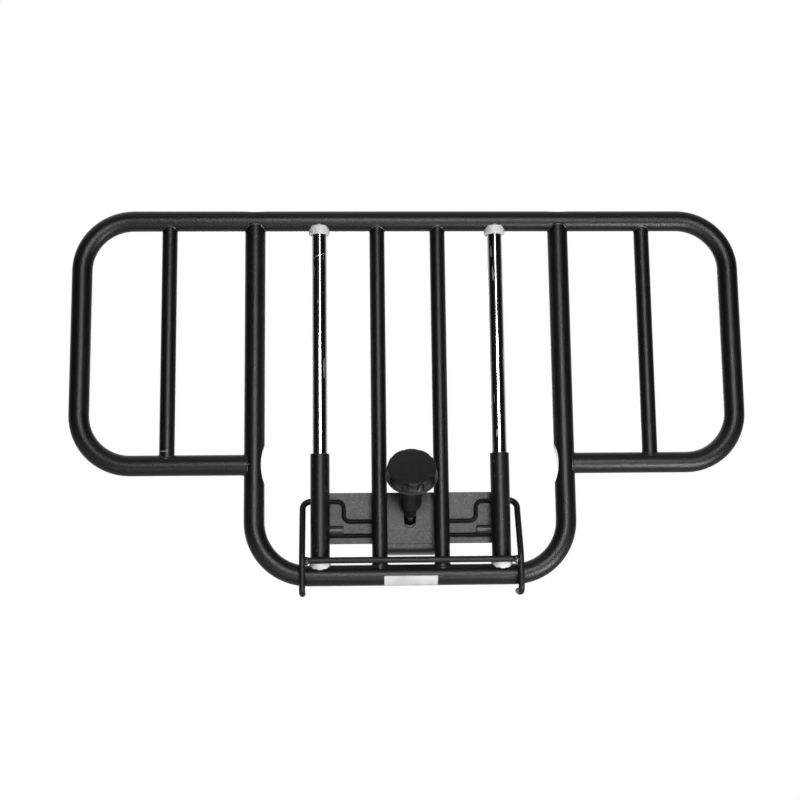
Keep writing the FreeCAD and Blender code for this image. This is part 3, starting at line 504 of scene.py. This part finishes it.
def crossbar_welds():
    """Lumps of weld that hold the crossbar between the bail's side wires."""
    blob = add_piece(bpy.ops.mesh.primitive_uv_sphere_add, segments=48, ring_count=24, radius=1.0)
    blob.scale = (0.0036, 0.0042, 0.0052)
    settle(blob)
    rough_up(blob, depth=0.0018, grain=0.0045)
    smooth(blob, 60.0)
    low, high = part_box("bail_crossbar")
    _, across, rise = center_of("bail_crossbar")
    inset = 0.0052  # from the crossbar's ends
    front = across - 0.0022
    height = rise - 0.0006
    places = (
        ("left_crossbar_weld", (low[0] + inset, front, height), (0, 0, 0.6)),
        ("right_crossbar_weld", (high[0] - inset, front, height), (0, 0, 2.4)),
    )
    set_out(blob, places, "weld_black", "bail")
    discard(blob)


def hook_weld():
    """Bead behind the plate, along the edge where the hook laps it."""
    low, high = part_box("hook_bracket")
    short = 0.004  # of each end of the hook
    proud = 0.0006  # from the plate's back to the bead's middle
    lap = PLATE_LOW[2] + 0.0145
    bead = add_piece(bpy.ops.mesh.primitive_cylinder_add, vertices=24, radius=0.0022,
                     depth=high[0] - low[0] - 2 * short)
    apply_modifier(bead, "BEVEL", width=0.0012, segments=3, limit_method="ANGLE")
    edit_all(bead, bpy.ops.mesh.subdivide, number_cuts=2)
    apply_modifier(bead, "REMESH", mode="VOXEL", voxel_size=0.0005)
    rough_up(bead, depth=0.0009, grain=0.003)
    smooth(bead, 60.0)
    settle(bead, (0, PLATE_HIGH[1] + proud, lap), (0, QUARTER_TURN, 0))
    finish_piece(bead, "hook_lap_weld", "weld_black", "bracket")


# ---- label, hook ends, slot ----

def bare_label():
    """Blank foil label on the bottom tube, from its front round to its underside."""
    lift = 0.00012  # off the tube
    film = 0.0001
    off_middle = -0.0008
    front_edge = -8.0  # degrees round the tube, up from straight ahead
    rear_edge = -112.0
    label = add_piece(bpy.ops.mesh.primitive_cylinder_add, vertices=144, radius=TUBE + lift, depth=0.0645,
                      end_fill_type="NOTHING")
    settle(label, turn=(0, QUARTER_TURN, 0))
    edit_all(label, bpy.ops.mesh.select_all, action="DESELECT")
    for face in label.data.polygons:
        rise = math.degrees(math.atan2(face.normal.z, -face.normal.y))
        face.select = not rear_edge < rise < front_edge
    bpy.ops.object.mode_set(mode="EDIT")
    bpy.ops.mesh.delete(type="FACE")
    bpy.ops.object.mode_set(mode="OBJECT")
    apply_modifier(label, "SOLIDIFY", thickness=film, offset=1.0)
    smooth(label, 30.0)
    settle(label, (off_middle, RAIL_Y, BOTTOM_Z))
    finish_piece(label, "bare_label", "label_foil", "rail")


def hook_ends():
    """Cut and rounded ends of the bail's hooks, bare where the shears went through."""
    dome = add_piece(bpy.ops.mesh.primitive_uv_sphere_add, segments=48, ring_count=24, radius=WIRE)
    dome.scale = (1.0, 0.5, 1.0)
    settle(dome)
    smooth(dome, 60.0)
    left_low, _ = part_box("left_bail_wire")
    right_low, right_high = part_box("right_bail_wire")
    behind = RAIL_Y + 0.005
    bent_in = 0.0016  # the right hook's end is a little off its wire's line
    bent_up = 0.0012
    places = (
        ("left_hook_end", (left_low[0] + WIRE, behind, left_low[2] + WIRE), UNTURNED),
        ("right_hook_end", (right_high[0] - WIRE - bent_in, behind, right_low[2] + WIRE + bent_up), UNTURNED),
    )
    set_out(dome, places, "cut_steel", "bail")
    discard(dome)


def slot_lip():
    """Crescent of the bush's rim that shows at the lower end of the slot."""
    thick = 0.0016
    front = PLATE_LOW[1] + 0.0004
    rise = PLATE_LOW[2] + 0.0265
    square_on = (QUARTER_TURN, 0, 0)
    lip = round_body(radius=0.0065, length=thick, spot=(0, front + thick / 2, rise), turn=square_on)
    bite = round_body(radius=0.0078, length=0.004, spot=(0, front, rise + 0.0036), turn=square_on)
    cut_with(lip, bite)
    apply_modifier(lip, "BEVEL", width=0.0004, segments=3, limit_method="ANGLE")
    smooth(lip, 40.0)
    # Painted highlight: the lip is painted paler than the plate, as if it caught the light.
    finish_piece(lip, "slot_lip", "painted_highlight_coat", "bracket")


# ---- knob and screw ----

def knob_bites():
    """One body that cuts a notch in the face's rim at each recess, and a gap half-way to the next.

    Each is set out from the screw's own line: x is its distance from the line, and z its height.
    """
    recesses = 10
    notch = add_piece(bpy.ops.mesh.primitive_cylinder_add, vertices=64, radius=0.006, depth=0.012)
    settle(notch, (0.0336, 0, 0.0955))
    gap = add_piece(bpy.ops.mesh.primitive_cube_add, size=1.0)
    gap.scale = (0.0040, 0.0115, 0.0013)
    settle(gap, (0.0312, 0, 0.0796))
    bites = []
    for number in range(recesses):
        for bite, step in ((notch, number), (gap, number + 0.5)):
            made = copy_piece(bite)
            made.data.transform(SCREW_PLACE @ Matrix.Rotation(step * 2 * math.pi / recesses, 4, "Z"))
            bites.append(made)
    discard(notch, gap)
    select_only(bites[0])
    for bite in bites:
        bite.select_set(True)
    bpy.ops.object.join()
    return bites[0]


def grip_knob():
    """Knob with its recesses carried into the face's rim and a gap under each rib."""
    grip = copy_cad_node("knob")
    cut_with(grip, knob_bites())
    apply_modifier(grip, "BEVEL", width=0.0004, segments=2, limit_method="ANGLE",
                   angle_limit=math.radians(35.0))
    smooth(grip, 35.0)
    finish_piece(grip, "grip_knob", "knob_black", "knob")
    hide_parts("knob")


def screw_relief():
    """Ring that narrows the screw behind the knob's tip."""
    middle = (0, 0, 0.0047)
    ring = round_body(radius=0.0066, length=0.0054, spot=middle)
    cut_with(ring, round_body(radius=0.0046, length=0.02, spot=middle))
    ring.data.transform(SCREW_PLACE)
    return ring


def thread_groove():
    """Three-cornered groove of the thread, wound up the screw."""
    pitch = 0.0015
    turns = 17
    facets = 32  # in each turn
    start = (0.00585, 0, -0.0235)  # out from the screw's line, and down from the plate's front
    groove = add_piece(bpy.ops.mesh.primitive_circle_add, vertices=3, radius=0.00087, fill_type="NOTHING")
    settle(groove, turn=(QUARTER_TURN, QUARTER_TURN, 0))
    groove.data.transform(Matrix.Translation(start))
    apply_modifier(groove, "SCREW", axis="Z", screw_offset=pitch, iterations=turns, steps=facets,
                   render_steps=facets, use_merge_vertices=True, merge_threshold=0.00001)
    edit_all(groove, bpy.ops.mesh.fill_holes, sides=4)
    edit_all(groove, bpy.ops.mesh.normals_make_consistent, inside=False)
    groove.data.transform(SCREW_PLACE)
    return groove


def threaded_screw():
    """Clamp screw with its fine thread and the relief behind the knob's tip."""
    screw = copy_cad_node("clamp_screw")
    cut_with(screw, screw_relief())
    cut_with(screw, thread_groove())
    smooth(screw, 35.0)
    finish_piece(screw, "threaded_screw", "screw_zinc", "knob")
    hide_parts("clamp_screw")


# ---- camera, light and stage ----

def place_camera():
    """Long lens in front, below the rail and a little to its left, tilted up."""
    lens = bpy.data.cameras.new("camera")
    lens.lens = 66.15
    lens.sensor_width = 36.0
    camera = bpy.data.objects.new("camera", lens)
    bpy.context.scene.collection.objects.link(camera)
    spot = (-0.082, -1.8602, -0.124)
    yaw = Matrix.Rotation(math.radians(-2.259), 4, "Z")
    pitch = Matrix.Rotation(math.radians(9.724), 4, "X")
    roll = Matrix.Rotation(math.radians(0.69), 4, "Y")
    level = Matrix.Rotation(QUARTER_TURN, 4, "X")
    camera.matrix_world = Matrix.Translation(spot) @ yaw @ pitch @ roll @ level
    bpy.context.scene.camera = camera


def softbox(name, spot, aim, width, height, watts):
    """Area lamp that faces a point."""
    lamp = bpy.data.lights.new(name, "AREA")
    lamp.shape = "RECTANGLE"
    lamp.size = width
    lamp.size_y = height
    lamp.energy = watts
    light = bpy.data.objects.new(name, lamp)
    bpy.context.scene.collection.objects.link(light)
    light.location = spot
    light.rotation_euler = (Vector(aim) - Vector(spot)).to_track_quat("-Z", "Y").to_euler()
    light.visible_camera = False


def light_studio():
    """Soft key in front with a small lamp above it, one behind, and two low ones for the undersides."""
    softbox("key", (0.22, -3.2, 0.42), aim=(0, RAIL_Y, 0.2), width=1.15, height=1.05, watts=60.0)
    softbox("key_top", (0.22, -3.2, 1.17), aim=(0, RAIL_Y, 0.4), width=0.34, height=0.44, watts=4.6)
    softbox("rear", (-0.1, 3.2, 0.75), aim=(0, RAIL_Y, 0.2), width=1.1, height=0.9, watts=16.0)
    softbox("low_fill", (-0.2, -0.8, -0.55), aim=(0, RAIL_Y, 0.15), width=1.1, height=0.2, watts=1.6)
    softbox("low_side", (0.62, -0.72, -0.55), aim=(0.3, RAIL_Y, 0.2), width=0.5, height=0.25, watts=11.0)


def light_world():
    """Studio room: white for the camera, pale behind, above and below the rail, dark in front of it."""
    room = Paint("studio", bpy.data.worlds.new("studio"))
    bpy.context.scene.world = room.owner
    direction = room.node("ShaderNodeTexCoord", "Generated")
    seen = room.node("ShaderNodeLightPath", "Is Camera Ray")
    behind = room.axis("Y", direction).climb(0.08, 0.95, 0.0, 0.95)
    ahead = room.axis("Y", direction).climb(-0.92, -0.8, 0.05, 0.0)
    brighter_left = room.axis("X", direction).climb(-0.5, 0.5, 1.3, 0.75)
    above_and_below = abs(room.axis("Z", direction)).climb(0.45, 0.9, 0.0, 0.6) * brighter_left
    level = (0.007 + ahead + behind + above_and_below) * (1 - seen) + seen
    backdrop = room.tree.nodes["Background"]
    room.feed(backdrop.inputs["Color"], grey(1.0))
    room.feed(backdrop.inputs["Strength"], level)


def lay_floor():
    """Pale floor well below the rail, white where nothing shades it."""
    floor = add_piece(bpy.ops.mesh.primitive_plane_add, size=14.0, location=(0, 0, -0.62))
    floor.name = "floor"
    paint = Paint("floor_pale").finish(Base_Color=grey(0.8), Roughness=0.9, Specular_IOR_Level=0.0)
    lit = Value(paint, paint.tree.nodes["Principled BSDF"].outputs[0])
    glow = paint.node("ShaderNodeEmission", 0, None, grey(1.0), 1.02)
    seen = paint.node("ShaderNodeLightPath", "Is Camera Ray")
    surface = paint.node("ShaderNodeMixShader", 0, None, seen * 0.97, lit, glow)
    paint.feed(paint.tree.nodes["Material Output"].inputs["Surface"], surface)
    floor.data.materials.append(paint.owner)


bpy.context.scene.view_settings.view_transform = "Standard"
finish_cad_nodes()
rail_welds()
crossbar_welds()
hook_weld()
bare_label()
hook_ends()
slot_lip()
grip_knob()
threaded_screw()
place_camera()
light_studio()
light_world()
lay_floor()
